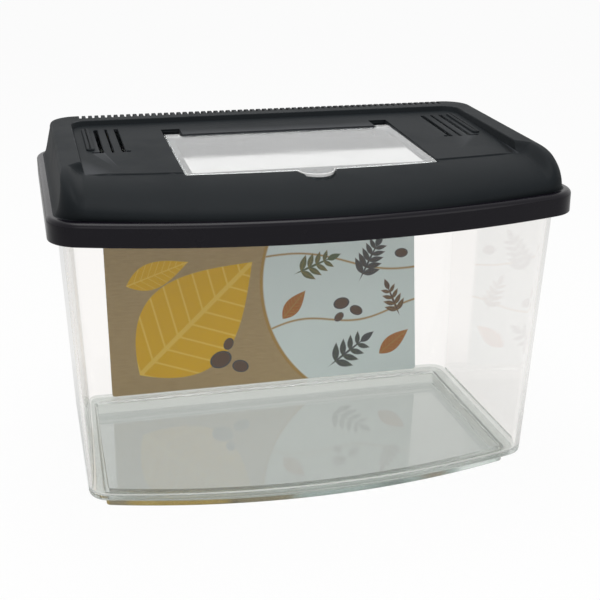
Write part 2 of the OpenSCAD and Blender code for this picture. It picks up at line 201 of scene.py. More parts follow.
# Tank
# One injection moulding in clear polystyrene. Its walls lean outwards from a rounded heel, the
# floor is stepped down into an inset foot, and a lip runs round the mouth for the lid to sit on.
RIM_BOW = 27.0
RIM_CORNER = 22.0
LIP_INSET = 2.8
LIP_HEIGHT = 3.2
WALL_INSET = 7.6
TANK_WALL = 2.2
BASE_TAPER = (6.4, 16.5, 20.9)
BASE_BOW = 19.0
BASE_CORNER = 13.0
FOOT_HEIGHT = 8.6
FOOT_INSET = 10.0
FOOT_DRAFT = 0.4
HEEL_RADIUS = 3.6
FLOOR_THICKNESS = 2.6
SMALL_ROUND = 0.8
HEEL_GAP = 0.05
LIP_ROUND = 0.6
LIP_UNDERSIDE = 0.8
MOUTH_EDGE = ((1.2, 0.0), (0.5, 0.25), (0.1, 0.8))
FLAT_RINGS = (3.0, 6.0)
WALL_RINGS = 9
CORNER_POINTS = 18
BACK_POINTS = 40
SIDE_POINTS = 24
BOW_SHARES = ((0.0, 45), (0.88, 10), (0.938, 13), (0.957, 12), (1.0, 0))

lid_low, lid_high = (np.array(corner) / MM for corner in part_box("lid"))
tank_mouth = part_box("tank")[1][2] / MM
RIM_PLAN = np.array([lid_high[0], lid_high[1], -lid_low[1], RIM_BOW, RIM_CORNER, RIM_CORNER])
PLAN_INSET = np.array([1.0, 1.0, 1.0, 0.0, 1.0, 1.0])
SMALLEST_CORNER = 1.5


def inset(plan, distance):
    """Plans are (half width, back, front, bow, front corner, back corner). All but the bow shrink
    by the distance."""
    moved = np.asarray(plan, float) - np.multiply.outer(np.asarray(distance, float), PLAN_INSET)
    moved[..., 4:] = np.maximum(moved[..., 4:], SMALLEST_CORNER)
    return moved


def arc_points(centre_x, centre_y, radius, start, stop, count):
    """Points on arcs, one row per ring: centre plus radius times (cos, sin), without the last point."""
    angle = start + (stop - start) * np.arange(count) / count
    return centre_x + radius * np.cos(angle), centre_y + radius * np.sin(angle)


def line_points(x0, y0, x1, y1, count):
    """Evenly spaced points on straight edges, one row per ring, without the last point."""
    share = np.arange(count) / count
    return x0 + (x1 - x0) * share, y0 + (y1 - y0) * share


def bow_shares():
    """Shares from 0 to 1 along the front arc, without the last. They lie closer together near its
    ends, where the lid's border runs into the visor."""
    half = [np.linspace(low, high, count, endpoint=False)
            for (low, count), (high, _) in zip(BOW_SHARES, BOW_SHARES[1:])]
    right = np.concatenate(half)
    return (np.concatenate([-1 + 0 * right[:1], -right[:0:-1], right]) + 1) / 2


def plan_rings(plans):
    """Closed outlines, one row per plan: straight back and sides, a bowed front that is one arc of
    radius (half^2 + bow^2) / (2 bow), and corner arcs that touch both their neighbours."""
    half, back, front, bow, corner, rear = (np.atleast_2d(plans)[:, i : i + 1] for i in range(6))
    bow_radius = (half**2 + bow**2) / (2 * bow)
    bow_y = bow_radius - front
    turn = np.arccos((half - corner) / (bow_radius - corner))
    front_y = bow_y - (bow_radius - corner) * np.sin(turn)
    side, side_back, low_back = half - corner, half - rear, back - rear
    quarter = math.pi / 2
    bow_angle = 2 * quarter + turn + (2 * quarter - 2 * turn) * bow_shares()
    stretches = [
        arc_points(side_back, low_back, rear, 0, quarter, CORNER_POINTS),
        line_points(side_back, back, -side_back, back, BACK_POINTS),
        arc_points(-side_back, low_back, rear, quarter, 2 * quarter, CORNER_POINTS),
        line_points(-half, low_back, -half, front_y, SIDE_POINTS),
        arc_points(-side, front_y, corner, 2 * quarter, 2 * quarter + turn, CORNER_POINTS),
        (bow_radius * np.cos(bow_angle), bow_y + bow_radius * np.sin(bow_angle)),
        arc_points(side, front_y, corner, 4 * quarter - turn, 4 * quarter, CORNER_POINTS),
        line_points(half, front_y, half, low_back, SIDE_POINTS),
    ]
    return tuple(np.concatenate([stretch[axis] for stretch in stretches], axis=1) for axis in (0, 1))


def round_over(radius, steps=6):
    """Pairs (inset, rise) along a quarter circle, from upright to flat."""
    angle = np.linspace(0, math.pi / 2, steps + 1)
    return np.stack([radius * (1 - np.cos(angle)), radius * np.sin(angle)], axis=1)


def mesh_piece(name, points, faces):
    """A smooth mesh object at the origin, made from points in millimetres."""
    mesh = bpy.data.meshes.new(name)
    mesh.from_pydata((np.asarray(points) * MM).tolist(), [], faces)
    mesh.shade_smooth()
    piece = bpy.data.objects.new(name, mesh)
    bpy.context.scene.collection.objects.link(piece)
    return piece


def stack_rings(x, y, z):
    """Points and faces of a closed skin over stacked rings, given as arrays (rings, points round).
    Neighbouring rings are joined by quads, and the first and last ring are filled."""
    rings, around = x.shape
    points = np.stack([x, y, z], axis=-1).reshape(-1, 3)
    low = np.arange(rings - 1)[:, None] * around + np.arange(around)[None, :]
    low_next = np.arange(rings - 1)[:, None] * around + (np.arange(around)[None, :] + 1) % around
    quads = np.stack([low, low_next, low_next + around, low + around], axis=-1).reshape(-1, 4)
    first = list(range(around))[::-1]
    last = list(range((rings - 1) * around, rings * around))
    return points, quads.tolist() + [first, last]


def level_stack(levels):
    """Stacks (plan, height) pairs into x, y and z arrays for stack_rings."""
    x, y = plan_rings(np.array([plan for plan, height in levels]))
    z = np.array([height for plan, height in levels])[:, None] + 0 * x
    return x, y, z


def sharpen(piece, degrees):
    """Marks the edges sharper than the angle, and lets large faces keep their own normals: a corner's
    normal is the mean of the faces round it, weighted by their areas."""
    piece.data.set_sharp_from_angle(angle=math.radians(degrees))
    flat = piece.modifiers.new("flat_faces", "WEIGHTED_NORMAL")
    flat.keep_sharp = True
    flat.weight = 100


def make_tank():
    """Walls, heel, foot and lip as one closed skin: levels from the foot's underside up the outside,
    round the lip, and down the inside to the floor. The flat rings keep both flat faces level."""
    top_corner = RIM_CORNER - WALL_INSET / 2
    wall_top = np.array([*(RIM_PLAN[:3] - WALL_INSET), RIM_BOW, top_corner, top_corner])
    base = np.array([*(wall_top[:3] - BASE_TAPER), BASE_BOW, BASE_CORNER, BASE_CORNER])
    foot = inset(base, FOOT_INSET)
    well = inset(foot, TANK_WALL)
    wall_z = FOOT_HEIGHT + HEEL_RADIUS
    ledge_z = FOOT_HEIGHT + FLOOR_THICKNESS
    lip = inset(RIM_PLAN, LIP_INSET)
    edge = round_over(SMALL_ROUND, 4)
    heel = round_over(HEEL_RADIUS, 8)[::-1]
    levels = [(inset(foot, ring), 0) for ring in FLAT_RINGS[::-1]]
    levels += [(inset(foot, cut), SMALL_ROUND - rise) for cut, rise in edge[::-1]]
    levels += [(inset(foot, -FOOT_DRAFT - cut), FOOT_HEIGHT - SMALL_ROUND + rise) for cut, rise in edge]
    levels += [(inset(base, cut), wall_z - rise + (rise == HEEL_RADIUS) * HEEL_GAP) for cut, rise in heel]
    under_lip = tank_mouth - LIP_HEIGHT
    climb = np.linspace(0, 1, WALL_RINGS)
    levels += [(base + (wall_top - base) * s, wall_z + (under_lip - wall_z) * s) for s in climb[1:]]
    levels += [(inset(wall_top, -cut), under_lip + 0.1 + 0.3 * rise) for cut, rise in edge[1:]]
    levels.append((inset(lip, LIP_UNDERSIDE / 2), under_lip + LIP_UNDERSIDE / 2))
    levels.append((lip, under_lip + LIP_UNDERSIDE))
    round_foot = tank_mouth - LIP_ROUND
    levels.append((lip, round_foot))
    levels += [(inset(lip, cut), round_foot + rise) for cut, rise in round_over(LIP_ROUND, 4)]
    inner_top, inner_base = inset(wall_top, TANK_WALL), inset(base, TANK_WALL)
    levels += [(inset(inner_top, -cut), tank_mouth - rise) for cut, rise in MOUTH_EDGE]
    inner_foot = ledge_z + HEEL_RADIUS
    levels += [(inner_top + (inner_base - inner_top) * s, under_lip + (inner_foot - under_lip) * s)
               for s in climb]
    levels += [(inset(inner_base, cut), inner_foot - rise) for cut, rise in heel[::-1][1:]]
    levels += [(inset(well, -cut), ledge_z - SMALL_ROUND + rise) for cut, rise in edge[::-1]]
    levels += [(inset(well, cut), FLOOR_THICKNESS + SMALL_ROUND - rise) for cut, rise in edge]
    levels += [(inset(well, ring), FLOOR_THICKNESS) for ring in FLAT_RINGS]
    tank = mesh_piece("tank_moulding", *stack_rings(*level_stack(levels)))
    sharpen(tank, 40)
    return tank


def float_group(name, takes, gives):
    """A node group of plain numbers. Returns it with the sockets inside it that give what it takes
    and take what it gives."""
    group = bpy.data.node_groups.new(name, "ShaderNodeTree")
    for names, side in ((takes, "INPUT"), (gives, "OUTPUT")):
        for label in names:
            group.interface.new_socket(label, in_out=side, socket_type="NodeSocketFloat")
    return group, group.nodes.new("NodeGroupInput").outputs, group.nodes.new("NodeGroupOutput").inputs


SMUDGED_FROM = 0.48


def handling_marks():
    """Node group: a roughness that rises in soft smudges, and the height of the moulding's ripple.
    The roughness is smooth, and smooth + smudge (noise - N) where a coarse noise is above N."""
    group, given, result = float_group("handling_marks", ("Smooth", "Smudge"), ("Roughness", "Ripple"))
    place = node(group, "TexCoord").outputs["Object"]
    blotch = node(group, "TexNoise", Vector=place, Scale=18.0, Detail=4.0, Roughness=0.6)
    wave = node(group, "TexNoise", Vector=place, Scale=6.0, Detail=1.0)
    patch = maths(group, "SUBTRACT", blotch.outputs[0], SMUDGED_FROM, clamp=True)
    rough = maths(group, "MULTIPLY_ADD", patch, given["Smudge"], given["Smooth"])
    feed(group, result["Roughness"], rough)
    feed(group, result["Ripple"], wave.outputs[0])
    return group


HANDLING = handling_marks()
PLASTIC_GLOSS = (0.4, 0.4, 0.4, 1.0)
WALL_TINT = (0.996, 0.986, 0.976, 1.0)
# The floor's dark tint is painted shade: it stands in for the shadow the black lid casts on the table
# seen through the floor.
FLOOR_PAINTED_SHADE = (0.5, 0.53, 0.51, 1.0)
LEDGE_TINT = (0.71, 0.74, 0.71, 1.0)
SHADOW_TINT = (0.93, 0.95, 0.94, 1.0)
WALL_MARKS = {"Smooth": 0.015, "Smudge": 0.08}
FLOOR_MARKS = {"Smooth": 0.05, "Smudge": 0.2}
LEDGE_MARKS = {"Smooth": 0.2, "Smudge": 0.3}
RIPPLE = 0.01
TURNS_OF_LIGHT = 2.5


def clear_plastic(name, tint, clear, marks):
    """Polished polystyrene: refracts by the clear share, scatters the rest, and lets shadow rays
    through to what is inside. Light caught between its faces goes straight on after its turns. The
    handling marks give it hazy smudges and a faint moulded ripple."""
    material, tree, output = new_material(name)
    marked = node(tree, "Group", node_tree=HANDLING, **marks).outputs
    bump = node(tree, "Bump", Strength=RIPPLE, Distance=0.002, Height=marked["Ripple"])
    plastic = node(tree, "BsdfPrincipled", Base_Color=tint, IOR=1.5, Transmission_Weight=clear,
                   Specular_Tint=PLASTIC_GLOSS, Roughness=marked["Roughness"], Normal=bump.outputs[0])
    film = node(tree, "BsdfTransparent", Color=SHADOW_TINT)
    rays = node(tree, "LightPath").outputs
    caught = maths(tree, "GREATER_THAN", rays["Glossy Depth"], TURNS_OF_LIGHT)
    blend_shaders(tree, maths(tree, "MAXIMUM", rays["Is Shadow Ray"], caught), plastic, film, output)
    return material


def wear(piece, *materials):
    """Gives a piece these materials and no others."""
    piece.data.materials.clear()
    for material in materials:
        piece.data.materials.append(material)


def face_centres(piece):
    """The middle of each face in millimetres, as three arrays."""
    centre = np.zeros(3 * len(piece.data.polygons))
    piece.data.polygons.foreach_get("center", centre)
    return centre.reshape(-1, 3).T / MM


LEVEL_MARGIN = 0.2
tank = make_tank()
wear(
    tank,
    clear_plastic("clear_polystyrene", WALL_TINT, 1.0, WALL_MARKS),
    # The floor's material carries painted shade in its dark tint.
    clear_plastic("floor_polystyrene_painted_shade", FLOOR_PAINTED_SHADE, 1.0, FLOOR_MARKS),
    clear_plastic("ledge_polystyrene", LEDGE_TINT, 0.85, LEDGE_MARKS),
)
heights = face_centres(tank)[2] - LEVEL_MARGIN
on_floor, on_ledge = heights < FLOOR_THICKNESS, heights < FOOT_HEIGHT + FLOOR_THICKNESS
# Index 1, the floor, gets the painted shade; index 2 is the ledge.
tank.data.polygons.foreach_set("material_index", np.where(on_floor, 1, np.where(on_ledge, 2, 0)))
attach(tank, "tank")
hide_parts("tank")


# Card
# The printed insert that fills the back of the tank: thin semi-gloss board, brown kraft on the
# left and a pale panel with small pictures on the right. It stands on the ledge of the floor.
CARD_WIDTH = 224.0
CARD_HEIGHT = 150.0
CARD_THICKNESS = 0.8
CARD_MIDDLE = 1.0
CARD_GAP = 0.25
CARD_OUT = HEEL_RADIUS * 0.75
CARD_CORNER = 2.0
CARD_EDGE = 0.25


def card_point(across, up, out):
    """Maps a point of the card, from its lower edge's middle and out of its back face, to the tank."""
    inner_back = RIM_PLAN[1] - WALL_INSET - BASE_TAPER[1] - TANK_WALL
    wall_run = tank_mouth - LIP_HEIGHT - FOOT_HEIGHT - HEEL_RADIUS
    lean = math.atan(BASE_TAPER[1] / wall_run)
    tilt = lean + math.asin(CARD_OUT / CARD_HEIGHT)
    foot_out, foot_up = -CARD_GAP - CARD_OUT, CARD_GAP - HEEL_RADIUS
    foot_y = inner_back + foot_out * math.cos(lean) + foot_up * math.sin(lean)
    foot_z = FOOT_HEIGHT + FLOOR_THICKNESS + HEEL_RADIUS
    foot_z += foot_up * math.cos(lean) - foot_out * math.sin(lean)
    y = foot_y - out * math.cos(tilt) + up * math.sin(tilt)
    z = foot_z + out * math.sin(tilt) + up * math.cos(tilt)
    return np.stack([across + CARD_MIDDLE, y, z], axis=-1)


def make_card():
    """A thin sheet with rounded corners: stacked rounded rectangles, from its back face to its front."""
    depth = np.array([0, CARD_EDGE, CARD_THICKNESS - CARD_EDGE, CARD_THICKNESS])
    pull = np.array([CARD_EDGE, 0, 0, CARD_EDGE])
    angle = np.concatenate([np.linspace(i, i + 1, 7) for i in range(4)]) * math.pi / 2
    middle_x = (CARD_WIDTH / 2 - CARD_CORNER) * np.repeat([1, -1, -1, 1], 7)
    middle_y = (CARD_HEIGHT / 2 - CARD_CORNER) * np.repeat([1, 1, -1, -1], 7)
    reach = CARD_CORNER - pull[:, None]
    across = middle_x + reach * np.cos(angle)
    up = CARD_HEIGHT / 2 + middle_y + reach * np.sin(angle)
    placed = card_point(across, up, depth[:, None] + 0 * across)
    points, faces = stack_rings(placed[..., 0], placed[..., 1], placed[..., 2])
    card = mesh_piece("printed_card", points, faces)
    sharpen(card, 30)
    flat = np.stack([across, up], axis=-1).reshape(-1, 2)
    corners = np.zeros(len(card.data.loops), int)
    card.data.loops.foreach_get("vertex_index", corners)
    layer = card.data.uv_layers.new(name="print_mm")
    layer.data.foreach_set("uv", (flat[corners] * MM).ravel())
    return card


KRAFT = (0.44, 0.32, 0.16, 1.0)
FIBRE = (0.34, 0.24, 0.11, 1.0)
PALE = (0.73, 0.82, 0.81, 1.0)
GOLD = (0.76, 0.44, 0.01, 1.0)
GOLD_VEIN = (0.85, 0.58, 0.09, 1.0)
OCHRE = (0.42, 0.26, 0.07, 1.0)
ORANGE = (0.42, 0.15, 0.03, 1.0)
UMBER = (0.12, 0.07, 0.045, 1.0)
SLATE = (0.07, 0.075, 0.08, 1.0)
MOSS = (0.1, 0.13, 0.06, 1.0)
CARD_MARKS = {"Smooth": 0.34, "Smudge": 0.2}
PANEL_MIDDLE = (92.0, 70.0)
PANEL_RADIUS = 94.0
PANEL_LINE = 2.4
WAVE_WIDTH = 1.3
WAVES = ((38.0, 0.1, 15.0), (92.0, -0.12, 19.0))
GOLD_LEAVES = ((-92.0, 14.0, 42, 112.0, 66.0), (-98.0, 78.0, 18, 46.0, 18.0))
ORANGE_LEAVES = ((12.0, 46.0, 48, 26.0, 11.0), (84.0, 14.0, 36, 28.0, 11.0))
KRAFT_PEBBLES = ((-34, 20, 20, 8), (-20, 14, -15, 6), (-28, 31, 60, 4.5))
PANEL_PEBBLES = ((56, 54, 10, 6), (67, 48, -25, 5), (54, 44, 40, 4), (102, 88, 0, 5))
SPRIGS = (
    (22.0, 78.0, 20, 32.0, 4, MOSS, OCHRE),
    (70.0, 70.0, 62, 34.0, 5, SLATE, UMBER),
    (100.0, 42.0, 112, 26.0, 4, UMBER, OCHRE),
    (46.0, 8.0, 34, 36.0, 4, SLATE, MOSS),
)


def print_shape(name, profile):
    """Node group: coverage of one printed shape at a point of the card, in millimetres. The point is
    turned into the shape's own axes, as shares (along, across) of its length and half width, and the
    profile gives how far inside the shape that is. The coverage rises from 0 to 1 over its edge."""
    takes = ("Across", "Up", "Place X", "Place Y", "Turn", "Length", "Width")
    group, given, result = float_group(name, takes, ("Cover", "Vein"))
    x = maths(group, "SUBTRACT", given["Across"], given["Place X"])
    y = maths(group, "SUBTRACT", given["Up"], given["Place Y"])
    sine, cosine = (maths(group, kind, given["Turn"]) for kind in ("SINE", "COSINE"))
    along = maths(group, "MULTIPLY_ADD", x, cosine, maths(group, "MULTIPLY", y, sine))
    back = maths(group, "MULTIPLY", x, sine)
    across = maths(group, "SUBTRACT", maths(group, "MULTIPLY", y, cosine), back)
    side = maths(group, "ABSOLUTE", maths(group, "DIVIDE", across, given["Width"]))
    share = maths(group, "DIVIDE", along, given["Length"])
    inside, vein = profile(group, share, maths(group, "MULTIPLY", side, 2.0))
    edge = maths(group, "MULTIPLY", inside, given["Width"])
    feed(group, result["Cover"], maths(group, "ADD", edge, 0.5, clamp=True))
    feed(group, result["Vein"], vein)
    return group


LEAF_RIBS = 9.0
LEAF_SLANT = 0.16
SPRIG_ANGLE = 52


def leaf_profile(group, share, side):
    """A leaf is as wide as 4 s (1 - s) (1.35 - 0.7 s) at share s of its length. Its veins are the
    midrib and the ribs, which slant and repeat along it."""
    bulge = maths(group, "MULTIPLY", share, maths(group, "SUBTRACT", 1.0, share))
    held = maths(group, "MULTIPLY", share, 1.0, clamp=True)
    width = maths(group, "MULTIPLY", bulge, maths(group, "MULTIPLY_ADD", held, -2.8, 5.4))
    lag = maths(group, "MULTIPLY", side, LEAF_SLANT)
    slant = maths(group, "MULTIPLY", maths(group, "SUBTRACT", share, lag), LEAF_RIBS)
    rib = maths(group, "LESS_THAN", maths(group, "FRACT", slant), 0.12)
    midrib = maths(group, "LESS_THAN", side, 0.05)
    return maths(group, "SUBTRACT", width, side), maths(group, "MAXIMUM", rib, midrib)


def pebble_profile(group, share, side):
    """A pebble is the ellipse share^2 + side^2 < 1; its vein is the shaded rim near the edge."""
    square = maths(group, "ADD", maths(group, "POWER", share, 2.0), maths(group, "POWER", side, 2.0))
    inside = maths(group, "SUBTRACT", 1.0, square)
    return inside, maths(group, "LESS_THAN", inside, 0.3)


def blend(tree, share, first, second):
    """The mix of two colours by the share of the second; each may be an output socket."""
    mix = node(tree, "Mix", data_type="RGBA")
    for index, value in ((0, share), (6, first), (7, second)):
        feed(tree, mix.inputs[index], value)
    return mix.outputs[2]


class Print:
    """The card's colour so far, with the card's place in millimetres, and ways to print over it."""

    def __init__(self, tree, base):
        self.tree, self.colour = tree, base
        uv = node(tree, "UVMap", uv_map="print_mm")
        scaled = node(tree, "VectorMath", operation="SCALE", Scale=1 / MM)
        self.place = wire(tree, uv, scaled).outputs[0]
        self.x, self.y, _ = node(tree, "SeparateXYZ", Vector=self.place).outputs
        self.shapes = {"leaf": print_shape("leaf_print", leaf_profile),
                       "pebble": print_shape("pebble_print", pebble_profile)}

    def over(self, cover, ink):
        """Prints the ink over the colour so far, by the share of the cover."""
        self.colour = blend(self.tree, cover, self.colour, ink)

    def shape(self, kind, x, y, turn, length, width, ink, vein_ink):
        """Prints one leaf or pebble, and its veins or rim over it."""
        made = node(self.tree, "Group", node_tree=self.shapes[kind], Across=self.x, Up=self.y,
                    Place_X=x, Place_Y=y, Turn=math.radians(turn), Length=length, Width=width)
        cover, vein = made.outputs
        self.over(cover, ink)
        self.over(maths(self.tree, "MULTIPLY", cover, vein), vein_ink)

    def sprig(self, x, y, turn, size, pairs, ink, vein_ink):
        """A stem with pairs of small leaves that shorten towards its tip, and one leaf at the tip."""
        self.shape("leaf", x, y, turn, size, 1.6, ink, ink)
        start = np.array([x, y])
        stem = size * np.array([math.cos(math.radians(turn)), math.sin(math.radians(turn))])
        for pair in range(pairs):
            share = 0.15 + 0.75 * pair / pairs
            foot = start + stem * share
            length = size * (0.42 - 0.2 * share)
            for side in (-SPRIG_ANGLE, SPRIG_ANGLE):
                self.shape("leaf", *foot, turn + side, length, 0.36 * length, ink, vein_ink)
        self.shape("leaf", *(start + stem * 0.8), turn, 0.34 * size, 0.14 * size, ink, ink)

    def wavy_line(self, height, slope, wave, width, ink, cover):
        """A line at height + slope x + 4 sin(x / wave), within the cover."""
        tree = self.tree
        swing = maths(tree, "MULTIPLY", maths(tree, "SINE", maths(tree, "DIVIDE", self.x, wave)), 4.0)
        line = maths(tree, "ADD", maths(tree, "MULTIPLY_ADD", self.x, slope, height), swing)
        away = maths(tree, "ABSOLUTE", maths(tree, "SUBTRACT", self.y, line))
        band = maths(tree, "SUBTRACT", width / 2 + 0.5, away, clamp=True)
        self.over(maths(tree, "MULTIPLY", band, cover), ink)


def card_print():
    """Semi-gloss board: kraft brown with fibres and one broad golden leaf, and a pale panel inside a
    round border, with wavy dividers and scattered sprigs, leaves and pebbles."""
    material, tree, output = new_material("printed_board")
    sheet = Print(tree, KRAFT)
    stretch = node(tree, "Mapping", Vector=sheet.place, Scale=(0.12, 0.9, 1.0)).outputs[0]
    fibre = node(tree, "TexNoise", Vector=stretch, Scale=1.0, Detail=6.0, Roughness=0.7)
    strand = maths(tree, "SUBTRACT", fibre.outputs[0], 0.42, clamp=True)
    sheet.over(maths(tree, "MULTIPLY", strand, 2.2), FIBRE)
    for leaf in GOLD_LEAVES:
        sheet.shape("leaf", *leaf, GOLD, GOLD_VEIN)
    for *place, size in KRAFT_PEBBLES:
        sheet.shape("pebble", *place, size, 1.5 * size, UMBER, SLATE)
    from_x = maths(tree, "SUBTRACT", sheet.x, PANEL_MIDDLE[0])
    from_y = maths(tree, "SUBTRACT", sheet.y, PANEL_MIDDLE[1])
    squares = [maths(tree, "POWER", maths(tree, "ABSOLUTE", value), 2.0) for value in (from_x, from_y)]
    distance = maths(tree, "SQRT", maths(tree, "ADD", *squares))
    panel = maths(tree, "SUBTRACT", PANEL_RADIUS, distance, clamp=True)
    sheet.over(maths(tree, "SUBTRACT", PANEL_RADIUS + PANEL_LINE, distance, clamp=True), OCHRE)
    sheet.over(panel, PALE)
    for wave in WAVES:
        sheet.wavy_line(*wave, WAVE_WIDTH, OCHRE, panel)
    for sprig in SPRIGS:
        sheet.sprig(*sprig)
    for leaf in ORANGE_LEAVES:
        sheet.shape("leaf", *leaf, ORANGE, OCHRE)
    for *place, size in PANEL_PEBBLES:
        sheet.shape("pebble", *place, size, 1.4 * size, UMBER, SLATE)
    marked = node(tree, "Group", node_tree=HANDLING, **CARD_MARKS).outputs
    bump = node(tree, "Bump", Strength=0.15, Distance=0.0001, Height=fibre.outputs[0])
    board = node(tree, "BsdfPrincipled", Base_Color=sheet.colour, Specular_IOR_Level=0.2,
                 Roughness=marked["Roughness"], Normal=bump.outputs[0])
    wire(tree, board, output)
    return material


card = make_card()
wear(card, card_print())
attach(card, "tank")
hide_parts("card")


# Lid
# One moulding in black polypropylene. A rim band fits over the tank's lip, and a dome rises from it
# to a raised border round a lower panel. Slots are cut through both wings and over the back edge.
RIM_HEIGHT = 13.0
RIM_ROUND = 2.8
RIM_LEDGE = 4.1
LID_WALL = 2.0
DOME_FALL = 5.0
SIDE_SET = 7.6
BACK_SET = 28.3
VISOR_LENGTH = 49.4
CREASE_BOW = 11.0
CREASE_CORNER = 3.6
TOP_CORNER = 15.0
BORDER_SIDE = 10.0
BORDER_BACK = 14.0
PANEL_DROP = 2.9
CREASE_DROP = 5.2
STEP_WIDTH = 1.2
STEP_ROUND = 0.6
FENDER_WIDTH = 6.0
FENDER_RUN = 12.0
PANEL_CORNER = 10.0
KNEE = 0.8
SIDE_WALL = (0.65, 0.5)
BACK_WALL = (0.74, 1.9)
BOW_POWER = 0.41
FRONT_POWER = 1.3
THROUGH = 8.0
BEVEL = 0.35

rim_z = lid_low[2]
dome_z = rim_z + RIM_HEIGHT
border_top = lid_high[2]
dome_plan = inset(RIM_PLAN, RIM_LEDGE)
top_half = dome_plan[0] - SIDE_SET
top_back = dome_plan[1] - BACK_SET
crease_y = VISOR_LENGTH - dome_plan[2]
crease_radius = (top_half**2 + CREASE_BOW**2) / (2 * CREASE_BOW)
panel_half = top_half - BORDER_SIDE - STEP_WIDTH
panel_back = top_back - BORDER_BACK - STEP_WIDTH


def border_height(y):
    """Height of the border's flat top, which falls evenly towards the front."""
    return border_top - DOME_FALL / (top_back - crease_y) * (top_back - y)


crease_z = border_height(crease_y) - CREASE_DROP
panel_slope = (border_height(panel_back) - PANEL_DROP - crease_z) / (panel_back - crease_y)


def panel_height(y):
    """Height of the panel, which falls evenly from its back edge to the crease."""
    return crease_z + panel_slope * (y - crease_y)


def crease_line(x):
    """Where the visor meets the panel: an arc through the crease's middle, of the crease's radius."""
    return crease_y + crease_radius - np.sqrt(crease_radius**2 - x**2)


def smooth_step(value):
    """0 below 0, 1 above 1, and the cubic 3t^2 - 2t^3 between."""
    t = np.clip(value, 0, 1)
    return t * t * (3 - 2 * t)


def top_height(x, y):
    """Height of the dome's top over a point: the border's, and between the border's front ends the
    panel's. The smooth step between them moves inwards from the visor to the panel's edge, where
    the recess cuts it off cleanly."""
    behind = smooth_step((y - crease_line(x)) / FENDER_RUN)
    start = panel_half + STEP_WIDTH - FENDER_WIDTH * behind
    rise = smooth_step((np.abs(x) - start) / (FENDER_WIDTH + 2 * (1 - behind)))
    rise = np.where(y > 0, 1.0, rise)
    return panel_height(y) + rise * (border_height(y) - panel_height(y))


def wall_share(t, knee, power):
    """Share of a wall's setback at share t of its height: knee (t / K)^power up to the knee at K,
    and above it the quarter ellipse 1 - (1 - knee) sqrt(1 - u^2), where u runs from 0 to 1."""
    above = np.clip((t - KNEE) / (1 - KNEE), 0, 1)
    return np.where(t < KNEE, knee * (t / KNEE) ** power, 1 - (1 - knee) * np.sqrt(1 - above**2))


def dome_plans(t):
    """Plans of the dome at shares t of its height. The visor is a quarter ellipse."""
    visor = 1 - np.sqrt(1 - t * t)
    columns = [
        dome_plan[0] - SIDE_SET * wall_share(t, *SIDE_WALL),
        dome_plan[1] - BACK_SET * wall_share(t, *BACK_WALL),
        dome_plan[2] - VISOR_LENGTH * visor,
        dome_plan[3] + (CREASE_BOW - dome_plan[3]) * visor**BOW_POWER,
        dome_plan[4] + (CREASE_CORNER - dome_plan[4]) * t**FRONT_POWER,
        dome_plan[5] + (TOP_CORNER - dome_plan[5]) * t,
    ]
    return np.stack(columns, axis=1)


def solid_piece(name, *stacks):
    """One closed mesh from stacks of rings, each an (x, y, z) triple, that follow on each other."""
    return mesh_piece(name, *stack_rings(*(np.concatenate(parts) for parts in zip(*stacks))))


def lid_outside():
    """Rim band, ledge, dome and crown: rings from the rim's lower edge to the middle of the top."""
    edge = round_over(SMALL_ROUND / 2, 4)[::-1]
    rim = [(inset(RIM_PLAN, cut), rim_z + SMALL_ROUND / 2 - rise) for cut, rise in edge]
    rim += [(inset(RIM_PLAN, cut), dome_z - RIM_ROUND + rise) for cut, rise in round_over(RIM_ROUND, 10)]
    rim.append((inset(RIM_PLAN, RIM_LEDGE - 0.5), dome_z))
    rim.append((inset(RIM_PLAN, RIM_LEDGE - 0.12), dome_z + 0.12))
    degrees = np.concatenate([np.linspace(1.5, 88, 40), [88.6, 89.2, 89.6, 90]])
    t = np.sin(np.radians(degrees))
    wall_x, wall_y = plan_rings(dome_plans(t))
    wall_z = dome_z + t[:, None] * (top_height(wall_x, wall_y) - dome_z)
    inward = np.concatenate([[0.3, 0.7], np.arange(1.2, FENDER_RUN, 0.9), [FENDER_RUN]])
    crown = inset(dome_plans(np.array([1.0]))[0], inward)
    crown_x, crown_y = plan_rings(crown)
    crown_z = top_height(crown_x, crown_y)
    core_x, core_y = plan_rings(inset(crown[-1], SMALL_ROUND))
    stacks = [level_stack(rim), (wall_x, wall_y, wall_z), (crown_x, crown_y, crown_z)]
    return solid_piece("lid_moulding", *stacks, (core_x, core_y, border_height(core_y)))


def lid_inside():
    """The hollow under the lid: the rim's inside, the flat seat on the lip, and the inside of the
    dome, which keeps a wall below the panel and inside the dome's walls."""
    band = inset(RIM_PLAN, LID_WALL)
    seat = dome_z - LID_WALL
    rim = [(band, rim_z - 5), (band, seat - 0.3), (inset(band, 0.3), seat)]
    t = np.sin(np.linspace(0, math.pi / 2, 24))
    low_top = panel_height(panel_back) - dome_z
    walls = dome_plans(t * low_top / (border_height(panel_back) - dome_z))
    plans = dome_plans(t)
    plans[:, [0, 1, 5]] = walls[:, [0, 1, 5]]
    x, y = plan_rings(inset(plans, LID_WALL))
    z = dome_z + t[:, None] * (panel_height(y) - dome_z) - LID_WALL
    z[0] += 0.01
    return solid_piece("hollow", level_stack(rim), (x, y, z))


def tilt(points, height, slope):
    """Moves points from the axes of a sloping plane to the lid's: the plane passes x, y = 0 at the
    height and rises backwards by the slope."""
    angle = math.atan(slope)
    x, y, z = np.moveaxis(np.asarray(points, float), -1, 0)
    back = y * math.cos(angle) - z * math.sin(angle)
    return np.stack([x, back, height + y * math.sin(angle) + z * math.cos(angle)], -1)


def on_panel(points):
    """The panel's plane: z is 0 on its surface, and y runs along it from the middle."""
    return tilt(points, panel_height(0), panel_slope)


